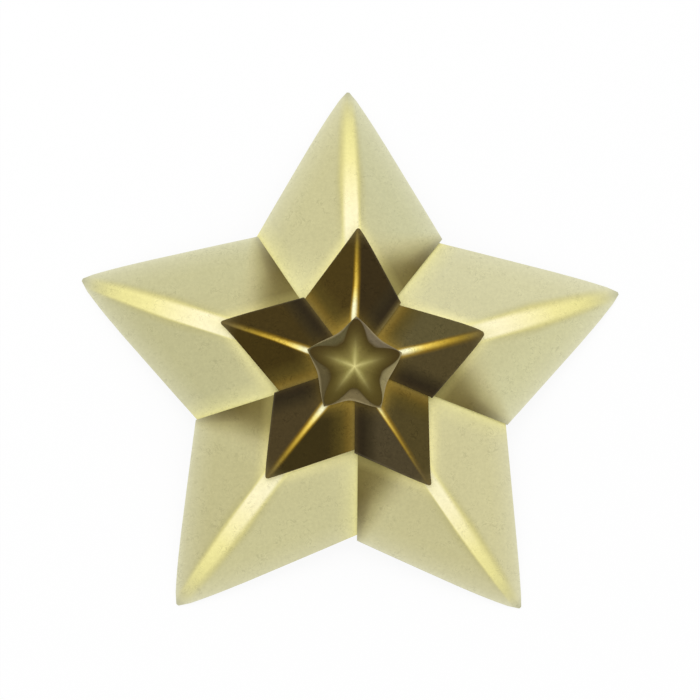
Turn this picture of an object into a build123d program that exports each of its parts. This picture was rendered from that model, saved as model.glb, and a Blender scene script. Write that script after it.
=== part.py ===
from build123d import *
from math import atan2, cos, degrees, hypot, radians, sin, tan
import os

import numpy as np

# A five-pointed star folded from one uncut sheet of paper, lying on its back.
# Millimetres and degrees. +Z is the star's axis, and one arm points along +Y.
# Each arm covers the edge of the next arm clockwise, like the blades of a pinwheel.

# The sheet
ARMS = 5
PAPER = 0.15                 # thickness of the sheet
LAYER_PITCH = 0.30           # from one layer of a stack to the next
TUCK = 0.30                  # how far each hidden layer stays inside the one over it

# Outer star: a shallow five-sided roof of star outline
OUTER_TIP_RADIUS = 80.0
OUTER_CORNER_RADIUS = 46.3
OUTER_TIP_HEIGHT = 0.9
OUTER_CORNER_HEIGHT = 7.0
OUTER_APEX_HEIGHT = 19.35    # where the roof would end if it had no hole
OUTER_TIP_WIDTH = 1.5        # the points are folded a little blunt
OUTER_HOLE_RIDGE = 24.0      # the sheet turns back here, under the middle star
OUTER_HOLE_PLEAT = 16.0

# Flaps folded behind the outer arms, with a gap along each arm's middle
FLAP_GAP = 8.2               # width of the gap at the flaps' inner end
FLAP_END_RIDGE = 27.0
FLAP_END_PLEAT = 22.0
FLAP_PLEAT_LAYERS = (-3, -4) # a flap's level at its pleat: counter-clockwise side, clockwise side
FLAP_HEM_LAYER = -1.2        # its level at the fold along the arm's edge, near the tip
FLAP_END_LAYER = -1.5        # its level at its raw end, beside the gap

# Middle star, the same form at about half the size
MIDDLE_TIP_RADIUS = 38.8
MIDDLE_CORNER_RADIUS = 23.6
MIDDLE_TIP_HEIGHT = 11.8
MIDDLE_CORNER_HEIGHT = 15.1
MIDDLE_APEX_HEIGHT = 21.2
MIDDLE_TIP_WIDTH = 1.1
MIDDLE_HOLE_RIDGE = 12.2
MIDDLE_HOLE_PLEAT = 9.0
MIDDLE_RIDGE_WIDTH = 1.0

# Pleats between the arms: they start at nothing under the puff and widen outwards
PLEAT_ANGLE = 8.4
LIP_SPREAD = 5.0             # how far a pleat's layers spread apart where it ends

# Puffed star in the middle
RIM_TIP_RADIUS = 14.0
RIM_SIDE_RADIUS = 10.3
RIM_TIP_HEIGHT = 18.8
RIM_SIDE_HEIGHT = 19.4
RIM_FOLD = 0.35              # height of the folded edge
TOP_TIP_RADIUS = 13.2
TOP_SIDE_RADIUS = 7.0
TOP_TIP_HEIGHT = 19.3
TOP_SIDE_HEIGHT = 20.9
TOP_APEX_HEIGHT = 21.9
WALL_FOLD_AT = 0.5           # the wall's middle line, as a share of the way up
WALL_SINK = 0.15             # and how far it sinks in there
DOME_FOLD_AT = 0.45          # the top's middle line, as a share of the way to the peak
DOME_SWELL = 0.2             # and how far it swells there

# Offsetting the folded surface to the paper's thickness
SAME_WAY = 0.999             # facets whose normals agree by more than this count as one
NEARLY_FLAT = 0.25           # folds weaker than this share of the sharpest one are left out
EMPTY_AREA = 1e-6            # a triangle below this is no triangle

PITCH = 360 / ARMS
HALF = PITCH / 2


def at(radius, turn, height):
    """A point by its radius and its turn, clockwise from the arm's ridge."""
    return Vector(radius * sin(radians(turn)), radius * cos(radians(turn)), height)


class Roof:
    """The star-shaped roof of one tier: ridges along the arms, pleat lines between them."""

    def __init__(self, apex, tip_radius, tip_height, corner_radius, corner_height):
        self.apex = apex
        self.along = (apex - tip_height) / tip_radius
        fall = (apex - corner_height) / corner_radius
        self.across = (fall - self.along * cos(radians(HALF))) / sin(radians(HALF))

    def lift(self, point, layers):
        """The point moved onto the roof, and then up by so many layers."""
        turn = degrees(atan2(point.X, point.Y))
        turn -= PITCH * round(turn / PITCH)
        radius = hypot(point.X, point.Y)
        fall = self.along * radius * cos(radians(turn))
        fall += self.across * radius * abs(sin(radians(turn)))
        return Vector(point.X, point.Y, self.apex - fall + layers * LAYER_PITCH)


outer = Roof(
    OUTER_APEX_HEIGHT, OUTER_TIP_RADIUS, OUTER_TIP_HEIGHT, OUTER_CORNER_RADIUS, OUTER_CORNER_HEIGHT
)
middle = Roof(
    MIDDLE_APEX_HEIGHT, MIDDLE_TIP_RADIUS, MIDDLE_TIP_HEIGHT, MIDDLE_CORNER_RADIUS, MIDDLE_CORNER_HEIGHT
)


def beside_ridge(ridge_radius, pleat_radius, width, side, blunt):
    """The point on a tier's outline that lies half a width beside its ridge."""
    ridge = at(ridge_radius, 0, 0)
    corner = at(pleat_radius, side * HALF, 0)
    share = width / 2 / abs(corner.X)
    point = ridge + (corner - ridge) * share
    if blunt:
        return Vector(point.X, ridge_radius - width / 4, 0)
    return point


def course(roof, ridge_radius, pleat_radius, width, layers, blunt=False):
    """One line of folds round an arm, as eight points in clockwise order.

    They are the arm's tucked end, its start at the pleat line, three points over the
    ridge, its free edge at the next pleat line, and the two ends of the hidden layer.
    layers gives the levels of the ridge, the free edge, the hidden layer and the tucked end.
    """
    ridge_layer, edge_layer, hidden_layer, tucked_layer = layers
    left = beside_ridge(ridge_radius, pleat_radius, width, -1, blunt)
    right = beside_ridge(ridge_radius, pleat_radius, width, 1, blunt)
    depth = (pleat_radius - MIDDLE_HOLE_PLEAT) * tan(radians(PLEAT_ANGLE))
    start = at(pleat_radius - 2 * TUCK, -HALF, 0)
    outwards = (start - left).normalized()
    square = at(1, -HALF - 90, 0)
    tucked = start + outwards * (depth / outwards.dot(square))
    hidden_start = at(pleat_radius - TUCK, HALF, 0)
    hidden_end = tucked.rotate(Axis.Z, -PITCH) + at(TUCK if depth > 0 else 0, HALF, 0)
    if depth <= 0:
        hidden_end = hidden_start
    return [
        roof.lift(tucked, tucked_layer),
        roof.lift(start, tucked_layer),
        roof.lift(left, ridge_layer),
        roof.lift(at(ridge_radius, 0, 0), ridge_layer),
        roof.lift(right, ridge_layer),
        roof.lift(at(pleat_radius, HALF, 0), edge_layer),
        roof.lift(hidden_start, hidden_layer),
        roof.lift(hidden_end, hidden_layer),
    ]


def puff_course(tip_radius, side_radius, tip_height, side_height, corner=False):
    """One line round the puff, as eight points for each arm, evenly along its side."""
    tip = at(tip_radius, 0, tip_height)
    side = at(side_radius, HALF, side_height)
    next_tip = at(tip_radius, PITCH, tip_height)
    if corner:
        line = Polyline(tip, side, next_tip)
    else:
        line = ThreePointArc(tip, side, next_tip)
    clockwise = [line @ (step / 8) for step in range(8)]
    before = [point.rotate(Axis.Z, PITCH) for point in clockwise[5:]]
    return before + clockwise[:5]


def lip_course(hole):
    """The fold above the middle star's inner edge, where the pleats have run out."""
    pleat_line = at(MIDDLE_HOLE_PLEAT - TUCK, HALF, 0)
    before, after = pleat_line.rotate(Axis.Z, LIP_SPREAD), pleat_line.rotate(Axis.Z, PITCH - LIP_SPREAD)
    plan = [after, after, hole[2], hole[3], hole[4], before, pleat_line, pleat_line]
    return [middle.lift(point, 1) for point in plan]


def between(low, high, share, puff=0):
    """A line part of the way from one course to another, raised a little by puff."""
    lifted = Vector(0, 0, puff)
    return [a + (b - a) * share + lifted for a, b in zip(low, high)]


def all_round(points):
    """A course of one arm repeated round the star, clockwise."""
    return [point.rotate(Axis.Z, -PITCH * arm) for arm in range(ARMS) for point in points]


def facets(low, high, closed=True):
    """The four-cornered facets between two courses of equal length."""
    count = len(low)
    last = count if closed else count - 1
    return [
        [low[i], low[(i + 1) % count], high[(i + 1) % count], high[i]] for i in range(last)
    ]


def star_facets():
    """The middle surface of the sheet, from the outer star's edge up to the puff's top."""
    outer_edge = course(
        outer, OUTER_TIP_RADIUS, OUTER_CORNER_RADIUS, OUTER_TIP_WIDTH, (0, 0, -1, -2), blunt=True
    )
    outer_hole = course(
        outer, OUTER_HOLE_RIDGE, OUTER_HOLE_PLEAT, FLAP_GAP, (0, 0, -1, -2)
    )
    turned_back = course(
        outer, OUTER_HOLE_RIDGE, OUTER_HOLE_PLEAT, FLAP_GAP, (1, 1, 2, 3)
    )
    middle_under = course(
        middle, MIDDLE_TIP_RADIUS, MIDDLE_CORNER_RADIUS, MIDDLE_TIP_WIDTH, (-1, -5, -4, -3), blunt=True
    )
    middle_edge = course(
        middle, MIDDLE_TIP_RADIUS, MIDDLE_CORNER_RADIUS, MIDDLE_TIP_WIDTH, (0, 0, -1, -2), blunt=True
    )
    middle_hole = course(
        middle, MIDDLE_HOLE_RIDGE, MIDDLE_HOLE_PLEAT, MIDDLE_RIDGE_WIDTH, (0, 0, -1, -2)
    )
    lip = lip_course(middle_hole)
    rim = puff_course(RIM_TIP_RADIUS, RIM_SIDE_RADIUS, RIM_TIP_HEIGHT, RIM_SIDE_HEIGHT)
    under_rim = [point - Vector(0, 0, RIM_FOLD) for point in rim]
    top = puff_course(TOP_TIP_RADIUS, TOP_SIDE_RADIUS, TOP_TIP_HEIGHT, TOP_SIDE_HEIGHT, corner=True)
    peak = [at(0, 0, TOP_APEX_HEIGHT)] * len(top)
    wall = between(rim, top, WALL_FOLD_AT, puff=-WALL_SINK)
    dome = between(top, peak, DOME_FOLD_AT, puff=DOME_SWELL)

    courses = [
        outer_edge, outer_hole, turned_back, middle_under, middle_edge,
        middle_hole, lip, under_rim, rim, wall, top, dome, peak,
    ]
    rounds = [all_round(points) for points in courses]
    sheet = []
    for low, high in zip(rounds, rounds[1:]):
        sheet += facets(low, high)
    for arm in range(ARMS):
        for edge, hem, end in flaps(outer_edge):
            turned = [
                [point.rotate(Axis.Z, -PITCH * arm) for point in line] for line in (end, hem, edge)
            ]
            sheet += facets(turned[0], turned[1], closed=False)
            sheet += facets(turned[1], turned[2], closed=False)
    return sheet


def flaps(outer_edge):
    """The two flaps behind an arm, each as its edge, its hem and its raw end."""
    start, left, right, free = outer_edge[1], outer_edge[2], outer_edge[4], outer_edge[5]
    pairs = []
    sides = zip((-1, 1), (start, free), (left, right), FLAP_PLEAT_LAYERS)
    for side, corner, shoulder, pleat_layer in sides:
        hem = [outer.lift(corner, pleat_layer), outer.lift(shoulder, FLAP_HEM_LAYER)]
        gap = beside_ridge(FLAP_END_RIDGE, FLAP_END_PLEAT, FLAP_GAP, side, False)
        end = [
            outer.lift(at(FLAP_END_PLEAT, side * HALF, 0), pleat_layer),
            outer.lift(gap, FLAP_END_LAYER),
        ]
        edge = [corner, shoulder]
        if side > 0:
            edge, hem, end = edge[::-1], hem[::-1], end[::-1]
        pairs.append((edge, hem, end))
    return pairs


def split(facet):
    """A facet as triangles, cut along its shorter diagonal, without empty ones."""
    a, b, c, d = facet
    if (a - c).length <= (b - d).length:
        halves = [(a, b, c), (a, c, d)]
    else:
        halves = [(a, b, d), (b, c, d)]
    return [t for t in halves if (t[1] - t[0]).cross(t[2] - t[0]).length > EMPTY_AREA]


def key(point):
    return (round(point.X, 6), round(point.Y, 6), round(point.Z, 6))


def mitre(normals):
    """How far a fold point moves, for each unit of offset, to clear all the facets at it."""
    distinct = []
    for normal in normals:
        if all(normal.dot(other) < SAME_WAY for other in distinct):
            distinct.append(normal)
    rows = np.array([tuple(normal) for normal in distinct])
    push, *_ = np.linalg.lstsq(rows, np.ones(len(rows)), rcond=NEARLY_FLAT)
    return Vector(*push)


def thicken(sheet):
    """One closed solid from the facets of the sheet's middle surface."""
    triangles = [t for facet in sheet for t in split(facet)]
    normals = {}
    edges = {}
    for triangle in triangles:
        a, b, c = triangle
        normal = (b - a).cross(c - a).normalized()
        for point in triangle:
            normals.setdefault(key(point), []).append(normal)
        for p, q in ((a, b), (b, c), (c, a)):
            edges.setdefault(frozenset((key(p), key(q))), []).append((p, q))
    push = {k: mitre(n) * (PAPER / 2) for k, n in normals.items()}

    def front(point):
        return point + push[key(point)]

    def back(point):
        return point - push[key(point)]

    faces = []
    for a, b, c in triangles:
        faces.append((front(a), front(b), front(c)))
        faces.append((back(a), back(c), back(b)))
    for sides in edges.values():
        if len(sides) == 1:
            p, q = sides[0]
            faces.append((front(q), front(p), back(p)))
            faces.append((front(q), back(p), back(q)))
    return Solid(Shell([Face(Wire.make_polygon(face)) for face in faces]))


folded_star = thicken(star_facets())
folded_star = Pos(0, 0, -folded_star.bounding_box().min.Z) * folded_star
print("volume", folded_star.volume, "valid", folded_star.is_valid, folded_star.bounding_box())

os.makedirs("parts", exist_ok=True)
folded_star.label = "folded_star"
export_step(folded_star, "parts/folded_star.step")
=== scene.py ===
# %% [markdown]
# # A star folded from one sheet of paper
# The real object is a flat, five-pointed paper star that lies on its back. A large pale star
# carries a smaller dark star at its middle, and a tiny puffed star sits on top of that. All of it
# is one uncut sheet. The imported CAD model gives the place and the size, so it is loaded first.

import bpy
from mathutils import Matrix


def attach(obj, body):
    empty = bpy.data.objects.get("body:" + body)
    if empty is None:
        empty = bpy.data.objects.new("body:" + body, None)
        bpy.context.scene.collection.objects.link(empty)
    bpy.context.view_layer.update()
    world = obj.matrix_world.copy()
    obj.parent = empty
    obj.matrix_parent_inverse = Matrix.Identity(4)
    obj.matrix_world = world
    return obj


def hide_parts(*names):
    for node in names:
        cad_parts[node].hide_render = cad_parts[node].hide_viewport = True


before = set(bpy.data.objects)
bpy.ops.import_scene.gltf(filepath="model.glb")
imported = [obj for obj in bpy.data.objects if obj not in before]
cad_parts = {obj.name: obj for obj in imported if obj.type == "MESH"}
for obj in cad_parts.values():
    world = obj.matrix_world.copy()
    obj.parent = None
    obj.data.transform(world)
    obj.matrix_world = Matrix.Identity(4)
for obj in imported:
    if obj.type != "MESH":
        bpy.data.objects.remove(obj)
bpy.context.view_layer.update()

# %% [markdown]
# ## Where the folds lie
# A folder never hits the perfect star: each arm is a little longer, shorter or more turned than
# the next. A perfect star turned five times would look like plastic, so the folds are listed arm
# by arm. Each point is a radius in millimetres and a turn in degrees away from its ideal place.
# Arms are counted clockwise from the one that points up, and corner 0 is clockwise of arm 0.

# %% Fold points of the three stars
from math import atan2, cos, degrees, hypot, pi, radians, sin, tan

import bpy
import numpy as np
from mathutils import Matrix, Vector

ARMS = 5
PITCH = 360 / ARMS
HALF = PITCH / 2
SHRINK = 0.986          # brings the longest arm to the size that the CAD model gives it
SET_DOWN = 0.417        # the lowest fold rests on the floor

outer_tips = [(81.04, -0.8), (80.5, 0.4), (81.3, -0.6), (80.8, 0.1), (79.9, 0.6)]
outer_corners = [(45.7, -2.3), (46.3, -0.1), (47.2, -2.4), (45.6, -0.3), (46.2, 0.6)]
middle_tips = [(39.8, 1.7), (38.2, 1.7), (38.6, 1.5), (38.6, 1.9), (38.9, 0.9)]
middle_corners = [(22.6, -1.0), (23.3, 1.6), (23.4, -1.2), (23.0, -0.2), (24.0, 0.3)]
rim_tips = [(13.9, 1.3), (13.6, 0.8), (13.4, 3.2), (13.9, 1.1), (13.8, 1.2)]
rim_sides = [(10.2, 5.0), (9.8, 6.0), (9.4, 6.0), (10.4, 5.0), (10.2, 6.0)]
top_tips = [(13.1, 1.3), (12.8, 0.8), (12.6, 3.2), (13.1, 1.1), (13.0, 1.2)]
top_corners = [(7.3, 1.5), (7.3, 1.0), (6.1, 2.0), (7.1, 0.5), (7.2, 1.0)]
OUTER_LEANS = (3.8, 0.5, 1.3, 1.0, 2.8)      # degrees by which a pleat misses the centre
MIDDLE_LEANS = (0.4, 1.1, 0.0, 0.0, 0.0)
OUTER_STEPS = (1.4, 0.6, 1.6, 0.5, -0.2)     # from a corner down to where the next arm starts
MIDDLE_STEPS = (0.8, 1.3, 0.9, 1.5, 0.5)
OUTER_PEAK, OUTER_TIP, OUTER_CORNER = 19.35, 0.9, 7.0        # heights in mm
MIDDLE_PEAK, MIDDLE_TIP, MIDDLE_CORNER = 21.2, 11.8, 15.1


def spot(radius, turn, height=0.0):
    """A point by its radius and its turn, clockwise from the arm that points up."""
    return np.array([radius * sin(radians(turn)), radius * cos(radians(turn)), height])


def ring(measured, height, first_turn=0.0):
    """The five points of one star, from the radii and turns measured on it."""
    return [
        spot(radius * SHRINK, first_turn + PITCH * arm + turn, height - SET_DOWN)
        for arm, (radius, turn) in enumerate(measured)
    ]


print("arms", [round(float(hypot(p[0], p[1])), 2) for p in ring(outer_tips, OUTER_TIP)], "mm long")

# %% [markdown]
# ## The roof of a star
# Each star is a shallow roof. It has a ridge to every tip and a line to every corner, where the
# pleats meet. Between a ridge and such a line the paper is a flat face. So the height of any
# layer follows from its place in plan: find the face it is over, and add its layers.
#
# The long edges are not straight either. Paper that is folded by hand bulges a little between a
# tip and a corner, most of all on the third next to the tip.

# %% A roof that gives the height of the paper
LAYER = 0.30            # from one layer of a stack to the next
BOW_AT = (0.0, 0.03, 0.06, 0.11, 0.22, 0.39, 0.50, 0.62, 0.73, 0.84, 1.0)    # from tip to corner
BOW_BY = (0.20, 0.50, 0.72, 0.84, 1.0, 0.92, 0.76, 0.60, 0.44, 0.28, 0.0)    # share of the bulge
STRAIGHT = ((0,) * ARMS, (0,) * ARMS)
OUTER_BOWS = ((0.76, 0.88, 1.02, 0.92, 0.78), (1.02, 0.88, 0.38, 1.00, 1.12))
MIDDLE_BOWS = ((0.34, 0.38, 0.20, 0.20, 0.22), (-0.05, 0.58, -0.26, 0.12, -0.30))


def in_plan(point):
    """The point as seen from straight above, at height 0."""
    return np.array([point[0], point[1], 0.0])


def direction(point):
    """The way in plan from the centre towards a point."""
    flat = in_plan(point)
    return flat / np.linalg.norm(flat)


def clockwise(way):
    """The way square to another one, on its clockwise side."""
    return np.array([way[1], -way[0], 0.0])


class Roof:
    """The faces of one star, from its peak down to its tips and its corners."""

    def __init__(self, peak, tips, corners, leans=(0,) * ARMS, steps=(0,) * ARMS, bows=STRAIGHT):
        self.peak = peak - SET_DOWN
        self.tips = tips
        self.corners = corners
        self.leans = leans
        self.steps = steps
        self.bows = bows

    def faces(self):
        """Every face, as the tip and the corner at its outer end."""
        for arm in range(ARMS):
            yield self.tips[arm], self.corners[arm]
            yield self.tips[arm], self.corners[arm - 1]

    def lift(self, point, layers=0.0):
        """The point moved onto the roof, and up or down by so many layers."""
        best, height = float("-inf"), 0.0
        for tip, corner in self.faces():
            plan = np.array([[tip[0], corner[0]], [tip[1], corner[1]]])
            share = np.linalg.solve(plan, point[:2])
            if min(share) > best:
                best = min(share)
                height = self.peak + share @ np.array([tip[2] - self.peak, corner[2] - self.peak])
        return np.array([point[0], point[1], height + layers * LAYER])

    def long_edge(self, flat, arm):
        """A point's own long edge: its tip, the way outwards from it, and how far it bulges there."""
        tip = in_plan(self.tips[arm])
        right = flat @ clockwise(direction(tip)) >= 0
        corner = in_plan(self.corners[arm if right else arm - 1])
        way = direction(corner - tip)
        share = (flat - tip) @ way / np.linalg.norm(corner - tip)
        bulge = np.interp(share, BOW_AT, BOW_BY) * self.bows[0 if right else 1][arm]
        return tip, clockwise(way) * (-1 if right else 1), bulge


outer_rings = ring(outer_tips, OUTER_TIP), ring(outer_corners, OUTER_CORNER, HALF)
middle_rings = ring(middle_tips, MIDDLE_TIP), ring(middle_corners, MIDDLE_CORNER, HALF)
outer = Roof(OUTER_PEAK, *outer_rings, OUTER_LEANS, OUTER_STEPS, OUTER_BOWS)
middle = Roof(MIDDLE_PEAK, *middle_rings, MIDDLE_LEANS, MIDDLE_STEPS, MIDDLE_BOWS)
print("outer ridge 40 mm out is", round(outer.lift(outer.tips[0] / 2)[2], 2), "mm up")

# %% [markdown]
# ## One line of folds
# The sheet is built from lines of folds that go once round the star, as a folder would crease
# them. Eight points make up an arm's share of a line: where the arm comes out from under its
# neighbour, its two faces with the ridge between them, its free edge, and the layer hidden
# beneath. Every arm covers the next one clockwise, like the blades of a pinwheel.

# %% The eight points of an arm on one line of folds
LINE_POINTS = 8         # of one arm on one line
TUCK = 0.30             # each hidden layer stays this far inside the one over it
PLEAT_ANGLE = 8.4       # the pleats widen outwards by this angle
PLEAT_ROOT = 9.0        # the radius where they start
TIP_WIDTH = 0.4         # the tips are folded a little blunt
IN_FRONT = (0, 0, -1, -2)    # layers: ridge, free edge, the one below it, tucked end


def beside(ridge, foot, way, width, blunt):
    """The point on the line from a ridge to a pleat that is half a width off the ridge."""
    reach = abs((foot - ridge) @ clockwise(way))
    point = ridge + (foot - ridge) * (width / 2 / reach)
    if blunt:
        point = point + way * ((ridge - point) @ way - width / 4)
    return point


def on_pleat(roof, corner, radius):
    """The point of a pleat at some radius. A leaning pleat runs a little beside the centre."""
    way = direction(roof.corners[corner])
    whole = np.linalg.norm(roof.corners[corner][:2])
    return way * radius - clockwise(way) * (whole - radius) * tan(radians(roof.leans[corner]))


def under(roof, arm, radius, step):
    """Where an arm's hidden end lies, under the arm that comes before it."""
    tip_way, pleat_way = direction(roof.tips[arm]), direction(roof.corners[arm - 1])
    start = on_pleat(roof, arm - 1, radius - step)
    depth = max(0.0, (radius - PLEAT_ROOT) * tan(radians(PLEAT_ANGLE)))
    outwards = direction(start - tip_way * radius)
    square = -clockwise(pleat_way)
    return start, start + outwards * (depth / (outwards @ square)) if depth > 0 else start


def fold_line(roof, ridge_radius, pleat_radius, width, layers, blunt=False):
    """The points of all five arms on one line, arm by arm. A radius of None is the outline."""
    ridge_up, edge_up, hidden_up, tucked_up = layers
    line = []
    for arm in range(ARMS):
        way = direction(roof.tips[arm])
        here, after = roof.corners[arm], (arm + 1) % ARMS
        ridge = way * (ridge_radius or np.linalg.norm(roof.tips[arm][:2]))
        before_radius = pleat_radius or np.linalg.norm(roof.corners[arm - 1][:2])
        after_radius = pleat_radius or np.linalg.norm(here[:2])
        step = 2 * TUCK if pleat_radius else roof.steps[arm - 1]
        start, tucked = under(roof, arm, before_radius, step)
        free = on_pleat(roof, arm, after_radius)
        hidden = on_pleat(roof, arm, after_radius - TUCK)
        hidden_end = under(roof, after, after_radius, 2 * TUCK)[1]
        if after_radius > PLEAT_ROOT:
            hidden_end = hidden_end + direction(here) * TUCK
        else:
            hidden_end = hidden
        left = beside(ridge, start, way, width, blunt)
        right = beside(ridge, free, way, width, blunt)
        line += [
            roof.lift(tucked, tucked_up), roof.lift(start, tucked_up),
            roof.lift(left, ridge_up), roof.lift(ridge, ridge_up), roof.lift(right, ridge_up),
            roof.lift(free, edge_up), roof.lift(hidden, hidden_up), roof.lift(hidden_end, hidden_up),
        ]
    return np.array(line)


def of_arm(line, arm):
    """One arm's own points of a line."""
    return line[arm * LINE_POINTS:(arm + 1) * LINE_POINTS]


outline = fold_line(outer, None, None, TIP_WIDTH, IN_FRONT, blunt=True)
print(len(outline), "points, from", outline.min(0).round(2), "to", outline.max(0).round(2))

# %% [markdown]
# ## The puffed star
# The middle of the sheet stands up as a tiny star that has been blown a little round. Its rim bends
# towards the centre on every side, and its top is shaped like a starfish, with round corners and
# blunt tips. Both are lines whose radius grows from the middle of a side to its tips: slowly at
# first, and the more so the rounder the corner is. Between the two lines the walls show as five
# crescents. The peak of the top lies a little off the centre of the sheet.

# %% Lines round the puffed star
COLUMNS = (2, 16, 4, 4, 16, 1, 2, 1)     # steps between an arm's eight points
PLACES = (-0.47, -0.42, -0.10, 0.0, 0.10, 0.42, 0.47, 0.50, 0.53)    # a share of a side, from a tip
LIP_SPREAD = 5.0        # degrees by which a pleat's layers spread where it ends
RIM_TIP, RIM_SIDE = 18.8, 19.4               # heights in mm
TOP_PEAK, TOP_TIP, TOP_CORNER = 21.87, 19.3, 20.9
RIM_POWER, TOP_POWER = 1.95, 3.3             # how round the corners are
PEAK = (-0.3, -0.3, TOP_PEAK - SET_DOWN)


def fine_places():
    """The places of all the columns of an arm, those between its eight points too."""
    places = []
    for steps, place, after in zip(COLUMNS, PLACES, PLACES[1:]):
        places += [place + (after - place) * step / steps for step in range(steps)]
    return places


def round_line(tips, sides, power, blunt=False):
    """One line round the puff. A higher power gives a rounder corner, and blunt rounds the tips."""
    line = []
    for arm in range(ARMS):
        for place in fine_places():
            nearest = arm if place < 0.5 else (arm + 1) % ARMS
            tip = tips[nearest]
            side = sides[arm] if place >= 0 else sides[arm - 1]
            share = 1 - 2 * min(abs(place), 1 - abs(place))
            radii = [hypot(p[0], p[1]) for p in (side, tip)]
            turns = [atan2(p[0], p[1]) for p in (side, tip)]
            swing = (turns[1] - turns[0] + pi) % (2 * pi) - pi
            reach = share ** power * (1 + power * (1 - share) if blunt else 1)
            radius = radii[0] + (radii[1] - radii[0]) * reach
            height = side[2] + (tip[2] - side[2]) * share
            line.append(spot(radius, degrees(turns[0] + swing * share), height))
    return np.array(line)


def lip_line(hole):
    """The fold over the middle star's inner edge, where the pleats have run out."""
    line = []
    radius = PLEAT_ROOT - TUCK
    turns = [PITCH * arm + HALF + turn for arm, (_, turn) in enumerate(middle_corners)]
    for arm in range(ARMS):
        after_pleat = spot(radius, turns[arm - 1] + LIP_SPREAD)
        ahead, pleat = spot(radius, turns[arm] - LIP_SPREAD), spot(radius, turns[arm])
        own = of_arm(hole, arm)
        plan = [after_pleat, after_pleat, own[2], own[3], own[4], ahead, pleat, pleat]
        line += [middle.lift(point, 1) for point in plan]
    return np.array(line)


top_rings = ring(top_tips, TOP_TIP), ring(top_corners, TOP_CORNER, HALF)
rim = round_line(ring(rim_tips, RIM_TIP), ring(rim_sides, RIM_SIDE, HALF), RIM_POWER)
top = round_line(*top_rings, TOP_POWER, blunt=True)
peak = np.array([PEAK] * len(top))
print("rim from", rim.min(0).round(2), "to", rim.max(0).round(2))

# %% [markdown]
# ## From lines to a sheet
# The lines lie a few millimetres to several centimetres apart. Between two of them the paper is
# filled with a fine grid, so that it can be bowed later and shaded smoothly. Some strips are
# folded edges, a few layers high at most, and need one row only. Each strip also says what it is,
# so that the visible faces, the puff and the hidden layers get their own finish.

# %% The lines of the whole sheet, from the outline to the peak
FLAP_GAP = 8.2          # between the two flaps behind an arm, at their inner end
TURN_BACK = (24.0, 16.0, FLAP_GAP)       # where the large star ends: radii on ridge and pleat, width
INNER_EDGE = (12.2, PLEAT_ROOT, 1.0)     # the same for the middle star
MIDDLE_TIP_WIDTH = 0.8
TURNED_BACK = (1, 1, 2, 3)       # layers of the sheet once it has turned back
HEM = (-1, -5, -4, -3)           # and where it turns up again, at the middle star's edge
UNDER_ROWS = 8          # of the layer that runs out again under the middle star
UNDER_LAYERS = 3.0      # how many layers it stays below that star's faces
RIM_FOLD = 0.35         # height of the puff's folded edge in mm

inner_line = fold_line(middle, *INNER_EDGE, IN_FRONT)
# A line, the rows up to the next line, and the finish of that strip
ROW_PLAN = [
    (outline, 40, "outer"),
    (fold_line(outer, *TURN_BACK, IN_FRONT), 1, "plain"),
    (fold_line(outer, *TURN_BACK, TURNED_BACK), UNDER_ROWS, "plain"),
    (fold_line(middle, None, None, MIDDLE_TIP_WIDTH, HEM, blunt=True), 1, "middle"),
    (fold_line(middle, None, None, MIDDLE_TIP_WIDTH, IN_FRONT, blunt=True), 24, "middle"),
    (inner_line, 1, "middle"),
    (lip_line(inner_line), 2, "middle"),
    (rim - np.array([0.0, 0.0, RIM_FOLD]), 1, "wall"),
    (rim, 7, "wall"),
    (top, 14, "top"),
    (peak, 0, "top"),
]
print(len(ROW_PLAN), "lines,", sum(rows for _, rows, _ in ROW_PLAN), "rows between them")

# %% Fill the strips with a fine grid
SCOOP = {"wall": -0.15, "top": 0.2}      # how far the walls sink and the top swells, in mm


def refine(line):
    """A line with more points, the same number in every arm."""
    if len(line) == ARMS * sum(COLUMNS):
        return line
    fine = []
    for number, point in enumerate(line):
        after = line[(number + 1) % len(line)]
        steps = COLUMNS[number % LINE_POINTS]
        fine += [point + (after - point) * (step / steps) for step in range(steps)]
    return np.array(fine)


rows, row_finish, row_share = [], [], []
for (line, steps, finish), following in zip(ROW_PLAN, ROW_PLAN[1:]):
    low, high = refine(line), refine(following[0])
    for step in range(steps):
        share = step / steps
        row = low + (high - low) * share
        row[:, 2] += SCOOP.get(finish, 0.0) * (4 * share * (1 - share)) * (steps > 1)
        if steps == UNDER_ROWS and step:
            row[:, 2] = [min(p[2], middle.lift(p, -UNDER_LAYERS)[2]) for p in row]
        rows.append(row)
        row_finish.append(finish)
        row_share.append(share)
rows.append(refine(peak))
row_share.append(1.0)
grid = np.array(rows)
print("grid of", grid.shape[0], "rows and", grid.shape[1], "columns")

# %% [markdown]
# ## Fields that the finish reads
# On the real star the light comes through the paper, so its colour depends on how many layers lie
# at a spot: a bright band along each ridge, dark fans along the pleats, a light strip beside
# them. All of these follow the folds. Painting them on would need an image, so each point of the
# mesh carries the number of its arm and its distances from the folds near it, in millimetres, and
# the material reads them. On the puff it also carries how far up the paper it lies: -1 to 0 on a
# wall, and 0 to 1 on the top.

# %% Distances from the folds
FIELDS = (
    "ridge", "along", "pleat_cw", "pleat_ccw", "inward", "edge", "radius", "arm", "gap", "rise",
)


def off_line(point, start, way):
    """How far a point lies clockwise of a line through a start."""
    return (point - start) @ clockwise(way)


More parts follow.
